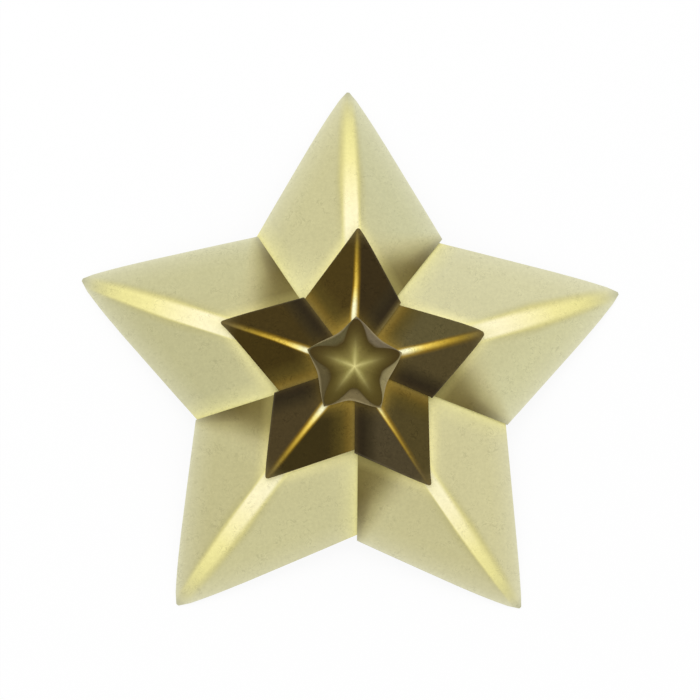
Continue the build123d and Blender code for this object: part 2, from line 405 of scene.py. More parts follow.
def fields_at(point, star, arm, gap, rise):
    """How far a point is from its arm's ridge, tip, pleats and long edge, and from the centre.

    On the puffed star the centre is its own peak.
    """
    flat, tip = in_plan(point), in_plan(star.tips[arm])
    after, before = in_plan(star.corners[arm]), in_plan(star.corners[arm - 1])
    way = direction(tip)
    after_way = direction(after - on_pleat(star, arm, 0.0))
    before_way = direction(before - on_pleat(star, arm - 1, 0.0))
    ridge = flat @ clockwise(way)
    edge_way = direction((after if ridge >= 0 else before) - tip)
    return (
        ridge, (tip - flat) @ way,
        -off_line(flat, after, after_way), off_line(flat, before, before_way),
        (after - flat) @ after_way, abs(off_line(flat, tip, edge_way)),
        np.linalg.norm(flat), arm, gap, rise,
    )


def outside(point, star, arm):
    """How far a point lies outside the outline of a star."""
    flat = in_plan(point)
    tip, outwards, bulge = star.long_edge(flat, arm)
    return (flat - tip) @ outwards - bulge


rim_turns = np.array([atan2(p[0], p[1]) for p in rim])
rim_radii = np.array([hypot(p[0], p[1]) for p in rim])
in_order = np.argsort(rim_turns)


def off_rim(point):
    """How far a point lies outside the rim of the puffed star."""
    turn = atan2(point[0], point[1])
    here = np.interp(turn, rim_turns[in_order], rim_radii[in_order], period=2 * pi)
    return hypot(point[0], point[1]) - here


width_of_arm = grid.shape[1] // ARMS
off_centre = in_plan(PEAK)
puff = Roof(TOP_PEAK, *[[point - off_centre for point in points] for points in top_rings])
stars = {"outer": outer, "plain": outer, "middle": middle, "wall": puff, "top": puff}
fields = np.zeros(grid.shape[:2] + (len(FIELDS),))
for r in range(grid.shape[0]):
    finish = row_finish[min(r, len(row_finish) - 1)]
    for c in range(grid.shape[1]):
        point, arm = grid[r, c], c // width_of_arm
        gap = outside(point, middle, arm) if finish == "outer" else off_rim(point)
        from_peak = point - off_centre if stars[finish] is puff else point
        rise = row_share[r] - 1 if finish == "wall" else row_share[r]
        fields[r, c] = fields_at(from_peak, stars[finish], arm, gap, rise)
        if finish == "wall" and c % width_of_arm < sum(COLUMNS[:3]):     # a wall runs from tip to tip
            fields[r, c, FIELDS.index("arm")] = (arm - 1) % ARMS
        if finish == "top":
            fields[r, c, FIELDS.index("ridge")] = abs(fields[r, c, FIELDS.index("ridge")])
print("fields", {name: fields[..., n].round(1).max() for n, name in enumerate(FIELDS)})

# %% Let the long edges bulge
def bowed(point, star, arm, amount=1.0):
    """The point moved with its long edge: all the way there, and not at all on the ridge."""
    flat = in_plan(point)
    tip, outwards, bulge = star.long_edge(flat, arm)
    off_ridge = abs(flat @ clockwise(direction(tip)))
    off_edge = abs((flat - tip) @ outwards)
    return point + outwards * (amount * bulge * off_ridge / max(off_ridge + off_edge, 0.01))


straight_reach = grid.max((0, 1))
for r, finish in enumerate(row_finish):
    star = {"outer": outer, "plain": middle, "middle": middle}.get(finish)
    if star:
        amount = row_share[r] if finish == "plain" else 1.0
        grid[r] = [bowed(point, star, c // width_of_arm, amount) for c, point in enumerate(grid[r])]
added = (grid.max((0, 1)) - straight_reach).round(2)
print("the bulges add", added, "mm to the right, to the far side and to the height")

# %% [markdown]
# ## The flaps behind
# The edge of the sheet is turned under each outer arm as two flaps. They leave a gap along
# the arm's middle, and the light that comes through that gap from behind is painted on the front as
# the bright band. From the back they are what one sees, so they are modelled: each is a strip from
# the arm's long edge inwards.

# %% The flaps as small grids
FLAP_ROWS = 12
FLAP_END = (27.0, 22.0)          # radii of the raw end, at the gap and at the pleat
FLAP_PLEAT_LAYERS = {-1: -3, 1: -4}      # a flap's layer at its pleat, on either side of the arm
FLAP_HEM_LAYER = -1.2                    # its layer at the arm's long edge, near the tip
FLAP_END_LAYER = -1.5                    # its layer at its raw end, beside the gap


def between(start, end, steps):
    """Points from one to another, with both of them."""
    return [start + (end - start) * (n / steps) for n in range(steps + 1)]


def flap(arm, side):
    """A flap's rows of points, from the arm's long edge to its raw inner end."""
    own = of_arm(outline, arm)
    corner, shoulder = (own[1], own[2]) if side < 0 else (own[5], own[4])
    down = FLAP_PLEAT_LAYERS[side]
    way = direction(outer.tips[arm])
    pleat = on_pleat(outer, arm if side > 0 else arm - 1, FLAP_END[1])
    gap = beside(way * FLAP_END[0], pleat, way, FLAP_GAP, False)
    at_pleat = between(outer.lift(corner, down), outer.lift(pleat, down), FLAP_ROWS)
    hem, end = outer.lift(shoulder, FLAP_HEM_LAYER), outer.lift(gap, FLAP_END_LAYER)
    lines = [(corner, shoulder), *zip(at_pleat, between(hem, end, FLAP_ROWS))]
    straight = [between(a, b, COLUMNS[1]) for a, b in lines]
    return np.array([[bowed(point, outer, arm) for point in line] for line in straight])


flaps = [(flap(arm, side), side) for arm in range(ARMS) for side in (-1, 1)]
print(len(flaps), "flaps of", flaps[0][0].shape[0], "by", flaps[0][0].shape[1], "points")

# %% [markdown]
# ## One mesh of all of it
# Points that fall together are joined, which closes the grid round the star and ties each flap to
# its long edge. Faces without any area, where a pleat runs out, are left away. The paper's own
# thickness comes last. A Solidify modifier would do it on a simple shape, but it throws spikes
# where several folds meet in one point, so each point gets the move that suits all faces round it.

# %% Join the grids
FINISHES = ("outer", "middle", "wall", "top", "plain")
POINT_COLUMN = [sum(COLUMNS[:n]) for n in range(LINE_POINTS)]    # where an arm's eight points are
verts, places, faces, finish_of, data = [], {}, [], [], []


def corner_index(point, values):
    """The number of a point of the mesh, the same one for points that fall together."""
    key = tuple(np.round(point, 4))
    if key not in places:
        places[key] = len(verts)
        verts.append(point)
        data.append(values)
    return places[key]


def add_face(corners, finish):
    """A face with the corners that are left once those that fall together are joined."""
    kept = [c for n, c in enumerate(corners) if c != corners[n - 1]]
    if len(set(kept)) >= 3 and len(set(kept)) == len(kept):
        faces.append(kept[::-1])
        finish_of.append(FINISHES.index(finish))


columns = grid.shape[1]
index = [[corner_index(grid[r, c], fields[r, c]) for c in range(columns)] for r in range(len(grid))]
for r, finish in enumerate(row_finish):
    for c in range(columns):
        step = c % width_of_arm
        # The dark star's finish also goes round its free edge, or a pale line would show there
        free_edge = POINT_COLUMN[6] if finish == "middle" else POINT_COLUMN[5]
        hidden = step < POINT_COLUMN[1] or step >= free_edge
        beyond = (c + 1) % columns
        shown = "plain" if hidden and finish in ("outer", "middle") else finish
        add_face([index[r][c], index[r][beyond], index[r + 1][beyond], index[r + 1][c]], shown)
for points, side in flaps:
    numbers = [[corner_index(p, np.zeros(len(FIELDS))) for p in row] for row in points]
    for low, high in zip(numbers, numbers[1:]):
        for n in range(len(low) - 1):
            square = [low[n], low[n + 1], high[n + 1], high[n]]
            add_face(square if side > 0 else square[::-1], "plain")
print(len(verts), "points,", len(faces), "faces")

# %% How far each point moves to give the paper its thickness
PAPER = 0.15            # thickness of the sheet in mm
SAME_WAY = 0.9995       # faces whose normals agree by more than this count as one
NEARLY_FLAT = 0.3       # folds weaker than this share of the sharpest one are left out
LONGEST_PUSH = 2.2      # a sharp fold moves no further than this many half thicknesses


def square_to(face):
    """The way a face looks."""
    first, *others = [verts[n] for n in face]
    way = sum(np.cross(a - first, b - first) for a, b in zip(others, others[1:]))
    return way / max(np.linalg.norm(way), 1e-12)


def push_of(ways):
    """The one move that lifts a point off all the faces round it by the same amount."""
    distinct = []
    for way in ways:
        if all(way @ other < SAME_WAY for other in distinct):
            distinct.append(way)
    if len(distinct) == 1:
        return distinct[0]
    push, *_ = np.linalg.lstsq(np.array(distinct), np.ones(len(distinct)), rcond=NEARLY_FLAT)
    length = np.linalg.norm(push)
    return push * min(1.0, LONGEST_PUSH / length)


ways_at = [[] for _ in verts]
for face in faces:
    way = square_to(face)
    for n in face:
        ways_at[n].append(way)
pushes = np.array([push_of(ways) if ways else np.zeros(3) for ways in ways_at])
print("longest push", round(float(np.linalg.norm(pushes, axis=1).max()), 2), "half thicknesses")

# %% Two skins and the raw edges between them
points = np.array(verts)
both_skins = np.concatenate([points + pushes * PAPER / 2, points - pushes * PAPER / 2])
count, plain_number = len(verts), FINISHES.index("plain")
edge_uses = {}
for face in faces:
    for n, start in enumerate(face):
        edge_uses.setdefault(frozenset((start, face[n - 1])), []).append((face[n - 1], start))
raw_edges = [uses[0] for uses in edge_uses.values() if len(uses) == 1]
skin_faces = faces + [[n + count for n in reversed(face)] for face in faces]
skin_faces += [[b, a, a + count, b + count] for a, b in raw_edges]
skin_finish = finish_of + [plain_number] * (len(faces) + len(raw_edges))
print(len(raw_edges), "raw edges,", len(skin_faces), "faces in all")

# %% Make the sheet
MM = 0.001
CREASE = 7.0            # a fold of more degrees than this shows as a crease

mesh = bpy.data.meshes.new("folded_sheet")
mesh.from_pydata([tuple(v * MM) for v in both_skins], [], skin_faces)
for n, name in enumerate(FIELDS):
    layer = mesh.attributes.new(name, "FLOAT", "POINT")
    layer.data.foreach_set("value", [float(row[n]) for row in data] * 2)
mesh.polygons.foreach_set("material_index", skin_finish)
mesh.polygons.foreach_set("use_smooth", [True] * len(skin_faces))
mesh.set_sharp_from_angle(angle=radians(CREASE))
sheet = bpy.data.objects.new("folded_sheet", mesh)
bpy.context.collection.objects.link(sheet)
print("sheet from", both_skins.min(0).round(2), "to", both_skins.max(0).round(2), "mm")

# %% [markdown]
# ## A way to write finishes
# The paper's finishes are made of the same few nodes: read a field, look it up on a scale of
# colours, and lay one colour over another. A small helper keeps each finish short enough to read
# as a recipe, and makes the floor's too. Colours are given as they look on screen, from 0 to 255,
# and turned to linear light.

# %% A helper that writes node recipes
def linear(level):
    """A level from 0 to 255 on screen, in linear light."""
    level = level / 255
    return level / 12.92 if level <= 0.04045 else ((level + 0.055) / 1.055) ** 2.4


def colour(levels):
    """The colour for a socket, from its levels on screen."""
    return (*[linear(level) for level in levels], 1.0)


class Recipe:
    """A finish, written node by node."""

    def __init__(self, name):
        self.material = bpy.data.materials.new(name)
        self.material.use_nodes = True
        self.nodes = self.material.node_tree.nodes
        self.links = self.material.node_tree.links
        self.paper = self.nodes["Principled BSDF"]

    def add(self, kind, **inputs):
        """A new node with its inputs set or linked."""
        node = self.nodes.new(kind)
        for name, value in inputs.items():
            self.feed(node.inputs[name], value)
        return node

    def feed(self, socket, value):
        if isinstance(value, bpy.types.NodeSocket):
            self.links.new(value, socket)
        else:
            socket.default_value = value

    def field(self, name):
        node = self.nodes.new("ShaderNodeAttribute")
        node.attribute_name = name
        return node.outputs["Fac"]

    def sum(self, operation, first, second=0.0):
        node = self.nodes.new("ShaderNodeMath")
        node.operation = operation
        self.feed(node.inputs[0], first)
        self.feed(node.inputs[1], second)
        return node.outputs[0]

    def plus(self, first, second):
        return self.sum("ADD", first, second)

    def times(self, first, second):
        return self.sum("MULTIPLY", first, second)

    def by(self, name, stops):
        """A scale that reads one of the mesh's fields."""
        return self.scale(self.field(name), stops)

    def scale(self, value, stops):
        """A colour or a share read off a scale. stops pair a value with what it gives."""
        low, high = stops[0][0], stops[-1][0]
        spread = self.nodes.new("ShaderNodeMapRange")
        self.feed(spread.inputs["Value"], value)
        spread.inputs["From Min"].default_value = low
        spread.inputs["From Max"].default_value = high
        ramp = self.nodes.new("ShaderNodeValToRGB")
        marks = ramp.color_ramp.elements
        while len(marks) < len(stops):
            marks.new(1.0)
        for mark, (at, gives) in zip(marks, stops):
            mark.position = (at - low) / (high - low)
            mark.color = colour(gives) if isinstance(gives, tuple) else (gives, gives, gives, 1.0)
        self.links.new(spread.outputs[0], ramp.inputs[0])
        return ramp.outputs["Color"]

    def over(self, share, below, above):
        """One colour laid over another by a share."""
        node = self.nodes.new("ShaderNodeMix")
        node.data_type = "RGBA"
        self.feed(node.inputs["Factor"], share)
        for socket, tone in (("A", below), ("B", above)):
            self.feed(node.inputs[socket], colour(tone) if isinstance(tone, tuple) else tone)
        return node.outputs["Result"]


print("mid grey is", round(linear(128), 3), "in linear light")

# %% [markdown]
# ## What makes it paper
# Close up, the sheet is not one colour: clouds a few millimetres wide, where the pulp was thicker,
# flecks, and single fibres that lie about as short dark threads. Noises make them all. A thread is
# the thin line along which a noise crosses its middle value, kept only where another noise is high.
# Paper has almost no shine, so its roughness is high and its reflection low.

# %% Pulp clouds, flecks, threads and tooth
PULP_SCALE = 230.0      # clouds of about 4 mm
FLECK_SCALE = 1100.0    # flecks of about 1 mm
THREAD_SCALE = 420.0    # threads a few millimetres long
TOOTH_SCALE = 2600.0    # the paper's tooth
TOOTH_DEPTH = 0.00003   # in metres
PLAIN_TONE = (203, 196, 146)


def noise(recipe, place, scale, **settings):
    return recipe.add("ShaderNodeTexNoise", Vector=place, Scale=scale, **settings)


def finish_paper(recipe, shade, light=1.0, cloud=0.05, fleck=0.07, shine=0.10):
    """The given colour with pulp clouds, flecks, threads and a fine tooth, as matt paper."""
    place = recipe.add("ShaderNodeTexCoord").outputs["Object"]
    pulp = noise(recipe, place, PULP_SCALE, Detail=3.0, Roughness=0.6)
    specks = noise(recipe, place, FLECK_SCALE, Detail=4.0, Roughness=0.75)
    curl = noise(recipe, place, THREAD_SCALE, Detail=1.0, Distortion=2.2)
    clouds = recipe.plus(recipe.times(pulp.outputs[0], cloud * 2), 1.0 - cloud)
    flecks = recipe.plus(recipe.times(specks.outputs[0], fleck * 2), 1.0 - fleck)
    off_thread = recipe.sum("ABSOLUTE", recipe.sum("SUBTRACT", curl.outputs[0], 0.5))
    threads = recipe.times(
        recipe.scale(off_thread, [(0.0, 1.0), (0.02, 0.6), (0.05, 0.0)]),
        recipe.scale(pulp.outputs[0], [(0.48, 0.0), (0.60, 1.0)]),
    )
    threads = recipe.plus(recipe.times(threads, -fleck), 1.0)
    value = recipe.times(recipe.times(clouds, flecks), threads)
    toned = recipe.add("ShaderNodeHueSaturation", Color=shade, Value=recipe.times(value, light))
    recipe.links.new(toned.outputs[0], recipe.paper.inputs["Base Color"])
    tooth = noise(recipe, place, TOOTH_SCALE, Detail=2.0)
    bump = recipe.add("ShaderNodeBump", Height=tooth.outputs[0], Strength=0.35, Distance=TOOTH_DEPTH)
    recipe.links.new(bump.outputs[0], recipe.paper.inputs["Normal"])
    dull = recipe.scale(specks.outputs[0], [(0.3, 0.76), (0.7, 0.88)])
    recipe.links.new(dull, recipe.paper.inputs["Roughness"])
    recipe.paper.inputs["Specular IOR Level"].default_value = shine
    return recipe.material


plain = Recipe("paper_plain")
plain_material = finish_paper(plain, colour(PLAIN_TONE))
print("made", plain_material.name)

# %% [markdown]
# ## Soft-edged light
# Where only one layer lies before the light, a bright strip shows along the ridge. Its two edges are
# the edges of the layers behind it: crisp where such a layer touches the face, blurred where it
# stands off. So each strip is written as two edges, and each edge has a place and a blur, arm by arm.

# %% A lit strip with two edges
HOLD = 0.4              # a scale holds an arm's value this far on both sides of its number


def arm_stops(values):
    """The stops of a scale that gives each arm its own value."""
    return [(arm + off, value) for arm, value in enumerate(values) for off in (-HOLD, HOLD)]


def per_arm(recipe, values):
    """A number that differs from arm to arm. Scales give 0 to 1, so it is stretched from there."""
    low, high = min(values), max(values)
    share = recipe.by("arm", arm_stops([(value - low) / (high - low) for value in values]))
    return recipe.plus(recipe.times(share, high - low), low)


def lit_strip(recipe, edges, blurs, widen, soften, ends=None, end_at=()):
    """1 inside a strip along the ridge and 0 outside.

    edges and blurs are in mm, arm by arm: the clockwise side, then the other. widen and soften
    scale them by the distance from the tip. ends are added to the edges, as far as end_at says.
    """
    ridge = recipe.field("ridge")
    wider = recipe.by("along", widen)
    softer = recipe.by("along", soften)
    sides = []
    for n, (side, edge, blur) in enumerate(zip((1.0, -1.0), edges, blurs)):
        place = recipe.times(per_arm(recipe, edge), wider)
        if ends:
            late = recipe.by("along", end_at)
            place = recipe.plus(place, recipe.times(per_arm(recipe, ends[n]), late))
        inside = recipe.sum("SUBTRACT", place, recipe.times(ridge, side))
        soft = recipe.times(per_arm(recipe, blur), softer)
        share = recipe.plus(recipe.sum("DIVIDE", inside, soft), 0.5)
        smooth = recipe.nodes.new("ShaderNodeMapRange")
        smooth.interpolation_type = "SMOOTHSTEP"
        recipe.feed(smooth.inputs["Value"], share)
        sides.append(smooth.outputs[0])
    return recipe.times(*sides)


def two_halves(recipe, clockwise_tones, other_tones):
    """The colour of a face, for each arm and each side of its ridge."""
    tones = [recipe.by("arm", arm_stops(half)) for half in (other_tones, clockwise_tones)]
    return recipe.over(recipe.by("ridge", [(-0.1, 0.0), (0.1, 1.0)]), *tones)


print("a strip has two edges, each with a place and a blur")

# %% [markdown]
# ## The large star's faces
# Each face is pale khaki, and no two are quite alike. Light and shade are painted on it: it is
# whitish along its long free edge and lighter along the neighbour that covers it. On the clockwise
# half the pleat lies behind, and its painted dark shade opens from the corner inwards like a fan.
# Close to the dark star the paper is painted lighter again: there the light comes through, so the
# shadow that a lamp from the front would throw is taken back.

# %% The tones of the ten faces
FACES_CW = ((199, 197, 156), (206, 203, 158), (199, 193, 145), (193, 187, 139), (196, 192, 147))
FACES_CCW = ((199, 194, 147), (210, 206, 164), (208, 202, 154), (202, 197, 149), (189, 185, 140))

khaki = Recipe("paper_outer")
tone = two_halves(khaki, FACES_CW, FACES_CCW)
# Painted light: whitish along the long free edge.
light_near_edge = khaki.by("edge", [(0.0, 0.60), (0.6, 0.36), (1.6, 0.22), (4.0, 0.08), (6.5, 0.0)])
tone = khaki.over(light_near_edge, tone, (231, 230, 204))
# Painted shade: darker further in from the long edge, more so on the clockwise half.
shade_far_in = khaki.times(
    khaki.by("edge", [(8.0, 0.0), (18.0, 0.35)]),
    khaki.by("ridge", [(-1.0, 0.45), (1.0, 1.0)]),
)
tone = khaki.over(shade_far_in, tone, (188, 180, 128))
# Painted light: lighter along the neighbour that covers the face.
light_by_neighbour = khaki.by("pleat_ccw", [
    (0.0, 0.85), (0.8, 0.72), (1.6, 0.48), (3.0, 0.24), (6.0, 0.0),
])
tone = khaki.over(light_by_neighbour, tone, (238, 231, 160))
# Painted shade at the very tip, where more layers lie before the light.
shade_of_tip_layers = khaki.by("along", [(0.0, 0.60), (1.0, 0.42), (2.8, 0.0)])
tone = khaki.over(shade_of_tip_layers, tone, (170, 168, 134))
print("ten faces, five clockwise of a ridge and five on the other side")

# %% The fan of a pleat
FAN_ROOT = 2.5          # the fan opens from a point this far outside the corner, in mm
FAN_END = 1.25          # its width where it has faded, as a share of the distance from there

# Painted shade of the pleat behind: dark along the pleat, opening like a fan from the corner.
from_root = khaki.sum("MAXIMUM", khaki.plus(khaki.field("inward"), FAN_ROOT), 0.5)
fan = khaki.sum("DIVIDE", khaki.field("pleat_cw"), from_root)
fan_shade_tone = khaki.scale(fan, [
    (0.0, (98, 86, 45)), (0.05, (104, 92, 50)), (0.10, (110, 98, 56)), (0.16, (118, 106, 63)),
    (0.23, (132, 121, 76)), (0.33, (157, 147, 98)), (0.48, (174, 166, 116)), (0.62, (186, 178, 130)),
    (0.78, (194, 187, 138)), (1.0, (199, 193, 145)),
])
deep_fan_shade = khaki.times(
    khaki.by("inward", [(9.0, 0.0), (15.0, 0.60), (20.0, 0.95)]),
    khaki.scale(fan, [(0.32, 1.0), (0.65, 0.20)]),
)
fan_shade_tone = khaki.over(deep_fan_shade, fan_shade_tone, (121, 109, 59))
fan_share = khaki.times(
    khaki.scale(fan, [(0.0, 1.0), (0.65, 0.92), (0.9, 0.5), (FAN_END, 0.0)]),
    khaki.by("inward", [(0.0, 0.30), (1.9, 0.50), (4.0, 0.70), (7.3, 0.88), (12.0, 1.0)]),
)
clockwise_half = khaki.by("ridge", [(0.0, 0.0), (2.0, 1.0)])
fan_share = khaki.times(fan_share, clockwise_half)
tone = khaki.over(fan_share, tone, fan_shade_tone)
print("10 mm in from the corner, a fan reaches", FAN_END * (10 + FAN_ROOT), "mm off its pleat")

# %% Light between the covering arm and the dark star
POCKETS = (0.85, 0.45, 0.35, 0.38, 0.36)     # how strong it is there, arm by arm
POCKET_REACH = 12.0                          # mm from the covering arm, and from the dark star

pocket = khaki.times(
    khaki.by("pleat_ccw", [(0.0, 1.0), (POCKET_REACH, 0.0)]),
    khaki.by("gap", [(0.0, 1.0), (POCKET_REACH, 0.0)]),
)
tone = khaki.over(khaki.times(pocket, per_arm(khaki, POCKETS)), tone, (238, 232, 174))
print(len(POCKETS), "pockets of light,", POCKET_REACH, "mm wide")

# %% The band along the ridge
BAND_EDGES = ((2.25, 2.60, 2.55, 2.35, 2.00), (2.20, 2.55, 1.30, 2.40, 3.00))
BAND_BLURS = ((2.2, 2.7, 0.95, 1.7, 2.6), (3.2, 3.6, 3.6, 3.2, 1.2))
SHADE_EDGES = [[edge + 1.3 for edge in side] for side in BAND_EDGES]     # a shade beside the band
SHADE_BLURS = [[2.6, 2.6, 2.6, 2.6, 2.5]] * 2        # per_arm needs two values that differ

band = lit_strip(
    khaki, BAND_EDGES, BAND_BLURS,
    widen=[(0.0, 0.20), (3.4, 0.50), (8.0, 0.66), (12.7, 0.76), (20.0, 0.90), (26.8, 1.0)],
    soften=[(0.0, 0.30), (3.4, 0.60), (12.0, 0.90), (26.0, 1.0), (34.0, 0.65)],
)
shaded = lit_strip(
    khaki, SHADE_EDGES, SHADE_BLURS,
    widen=[(0.0, 0.20), (8.0, 0.60), (26.8, 1.0)], soften=[(0.0, 0.5), (26.0, 1.0)],
)
strength = khaki.by("along", [(4.0, 0.0), (12.0, 0.5), (26.0, 0.75), (34.0, 0.55), (44.0, 0.2)])
tone = khaki.over(khaki.times(shaded, strength), tone, (187, 180, 124))
glow = khaki.by("along", [
    (2.0, (205, 199, 146)), (6.0, (219, 212, 147)), (12.7, (234, 226, 152)), (20.0, (242, 233, 160)),
    (26.8, (249, 240, 180)), (34.4, (253, 244, 196)), (44.0, (254, 248, 208)),
])
side_of_glow = khaki.by("along", [
    (6.0, (214, 207, 144)), (20.0, (232, 222, 142)), (34.4, (243, 232, 150)), (44.0, (248, 240, 165)),
])
core = khaki.scale(band, [(0.35, 0.0), (0.95, 1.0)])
glow = khaki.over(core, side_of_glow, glow)
fade = khaki.by("along", [(0.8, 0.0), (4.0, 0.6), (9.0, 1.0)])
tone = khaki.over(khaki.times(band, fade), tone, glow)
print("the band is", max(map(sum, zip(*BAND_EDGES))), "mm wide on its widest arm")

# %% The light near the dark star
# Painted light near the dark star, taking back the shadow that the lamp throws there.
lift = khaki.by("gap", [
    (0.0, 0.52), (0.4, 0.46), (0.85, 0.34), (1.4, 0.23),
    (2.3, 0.10), (3.4, 0.05), (5.1, 0.02), (8.0, 0.0),
])
lift = khaki.times(lift, khaki.scale(band, [(0.2, 1.0), (0.9, 0.0)]))
lift = khaki.times(lift, khaki.scale(fan, [(0.0, 0.15), (0.25, 0.30), (0.5, 0.90), (0.7, 1.0)]))
lift = khaki.times(lift, khaki.by("pleat_ccw", [
    (0.0, 0.12), (2.5, 0.25), (5.5, 0.52), (10.0, 0.80), (14.0, 1.0),
]))
# Painted warm light along the dark star's edge.
warm_light = khaki.by("gap", [(0.0, 0.22), (1.4, 0.14), (3.4, 0.0)])
tone = khaki.over(warm_light, tone, (236, 224, 140))
outer_material = finish_paper(khaki, tone, light=khaki.plus(lift, 1.0), cloud=0.055, fleck=0.16)
print("made", outer_material.name)

# %% [markdown]
# ## The middle star's faces
# Here the light from behind has many more layers to pass, so the dark brown of these faces is
# painted shade. The half beside the covering neighbour starts with painted golden light, the other
# half has painted shade, nearly black-brown, at its pleat, and a thin painted line of light runs
# along each ridge, white at its inner end and amber at the tip. A little of that painted gold light
# also lies round the puffed star.

# %% The middle star's finish
DARK_CW = ((57, 46, 25), (80, 69, 41), (77, 67, 45), (74, 62, 37), (68, 55, 25))
DARK_CCW = ((72, 58, 24), (93, 84, 52), (81, 70, 38), (60, 50, 23), (65, 52, 20))
RIM_LIGHT = (0.95, 0.05, 0.15, 0.10, 0.35)    # on the free fold beside each pleat
# How strong the painted gold light round the puffed star is, arm by arm
PUFF_GOLD_LIGHT = (1.0, 0.75, 0.85, 0.75, 0.40)     # round the puffed star

dark = Recipe("paper_middle")
shade = two_halves(dark, DARK_CW, DARK_CCW)
clockwise_half = dark.by("ridge", [(0.0, 0.0), (1.5, 1.0)])
# Painted shade, nearly black-brown, along the pleat on the clockwise half.
shade_by_pleat = dark.times(
    dark.by("pleat_cw", [(0.0, 1.0), (2.5, 1.0), (4.2, 0.75), (6.5, 0.0)]), clockwise_half,
)
shade = dark.over(shade_by_pleat, shade, dark.by("pleat_cw", [
    (0.0, (58, 48, 27)), (1.0, (50, 41, 26)), (2.2, (49, 41, 26)), (4.5, (55, 47, 29)),
]))
# Painted golden light on the half beside the covering neighbour, fading away from its edge.
light_by_neighbour = dark.times(
    dark.by("pleat_ccw", [(0.0, 1.0), (2.2, 0.95), (4.0, 0.72), (7.5, 0.0)]),
    dark.by("ridge", [(-1.5, 1.0), (0.0, 0.0)]),
)
gold = dark.by("pleat_ccw", [
    (0.0, (136, 116, 58)), (0.85, (128, 107, 48)), (1.5, (119, 98, 41)), (2.2, (109, 89, 36)),
    (3.0, (100, 83, 34)), (4.2, (90, 76, 32)),
])
shade = dark.over(light_by_neighbour, shade, gold)
fold_light = dark.times(
    dark.times(per_arm(dark, RIM_LIGHT), clockwise_half),
    dark.by("pleat_cw", [(0.0, 0.80), (0.35, 0.50), (0.8, 0.20), (1.6, 0.0)]),
)
shade = dark.over(fold_light, shade, (130, 114, 66))
# Painted gold light round the puffed star.
gold_light_near_rim = dark.times(
    dark.by("gap", [(0.0, 0.95), (0.7, 0.68), (1.5, 0.36), (3.0, 0.12), (5.0, 0.0)]),
    dark.by("ridge", [(-0.8, 1.0), (0.8, 0.22)]),
)
gold_light_near_rim = dark.times(gold_light_near_rim, per_arm(dark, PUFF_GOLD_LIGHT))
shade = dark.over(gold_light_near_rim, shade, (172, 144, 62))
# Painted light: the face is lighter close to its tip.
light_by_tip = dark.by("along", [(0.0, 0.75), (1.5, 0.60), (3.0, 0.22), (5.0, 0.0)])
shade = dark.over(light_by_tip, shade, (110, 98, 60))
# A thin painted line of light along the long edge.
edge_light_line = dark.by("edge", [(0.0, 0.16), (0.2, 0.08), (0.4, 0.0)])
shade = dark.over(edge_light_line, shade, (150, 140, 108))
print("the gold round the puff is strongest on arm", PUFF_GOLD_LIGHT.index(max(PUFF_GOLD_LIGHT)))

# %% The bright line along its ridges
LINE_EDGES = ((0.42, 0.72, 0.92, 0.50, 0.90), (0.80, 1.10, -0.15, 0.80, 0.33))
LINE_BLURS = ((1.6, 2.2, 0.7, 1.5, 1.6), (1.1, 1.2, 1.9, 1.1, 0.7))
LINE_DELAYS = (0.0, 0.5, 4.0, 1.2, 2.2)      # mm by which an arm's line brightens later
LINE_ENDS = ((-0.40, -0.45, 0.0, 0.0, -0.45), (0.40, -0.10, 0.0, 0.0, 0.45))    # added at the puff

# A painted line of light along each ridge, white at its inner end and amber at the tip.
line = lit_strip(
    dark, LINE_EDGES, LINE_BLURS,
    widen=[(0.0, 0.5), (2.2, 0.8), (5.6, 0.93), (17.0, 1.0), (22.5, 1.22), (26.0, 1.3)],
    soften=[(0.0, 0.8), (5.6, 1.0), (22.0, 1.1)],
    ends=LINE_ENDS, end_at=[(15.0, 0.0), (25.0, 1.0)],
)
reached = dark.sum("SUBTRACT", dark.field("along"), per_arm(dark, LINE_DELAYS))
middle_of_line = dark.scale(reached, [
    (0.0, (112, 97, 56)), (2.3, (126, 108, 54)), (5.6, (150, 125, 46)), (9.5, (180, 147, 50)),
    (13.0, (208, 174, 66)), (16.9, (242, 208, 92)), (19.5, (254, 238, 146)), (22.0, (255, 252, 206)),
])
side_of_line = dark.scale(reached, [
    (0.0, (96, 80, 42)), (5.6, (118, 94, 28)), (11.3, (146, 113, 20)), (17.0, (180, 138, 24)),
    (22.5, (220, 182, 72)),
])
core = dark.scale(line, [(0.35, 0.0), (0.9, 1.0)])
shade = dark.over(line, shade, dark.over(core, side_of_line, middle_of_line))
middle_material = finish_paper(dark, shade, cloud=0.14, fleck=0.30, shine=0.02)
print("made", middle_material.name)

# %% [markdown]
# ## The puffed star's walls and top
# The five walls carry painted light and shade: those on the right are the lightest, those on the
# left the darkest. Each wall has a painted pale highlight on its folded rim. The olive top is painted
# lighter at its centre and darker towards its outline, and five painted rays of light run from the
# centre towards its tips and die away before they get there.

# %% The puff's finish
# Painted light and shade: the walls on the right are the lightest, those on the left the darkest.
WALL_LIGHT_AND_SHADE = ((113, 102, 79), (144, 133, 92), (119, 106, 72), (91, 81, 52), (91, 84, 54))

wall = Recipe("paper_wall")
grey = wall.by("arm", arm_stops(WALL_LIGHT_AND_SHADE))
# Painted highlight: a pale line on each wall's folded rim.
foot = wall.by("rise", [(-1.0, 0.75), (-0.92, 0.40), (-0.80, 0.0)])
grey = wall.over(foot, grey, (158, 144, 106))
# Painted shade on the upper part of the wall, next to the top's edge.
shade_below_top = wall.by("rise", [(-0.45, 0.0), (-0.22, 0.30), (-0.10, 0.70), (0.0, 1.0)])
grey = wall.over(shade_below_top, grey, (76, 64, 32))
wall_material = finish_paper(wall, grey, cloud=0.20, fleck=0.24, shine=0.04)

crown = Recipe("paper_top")
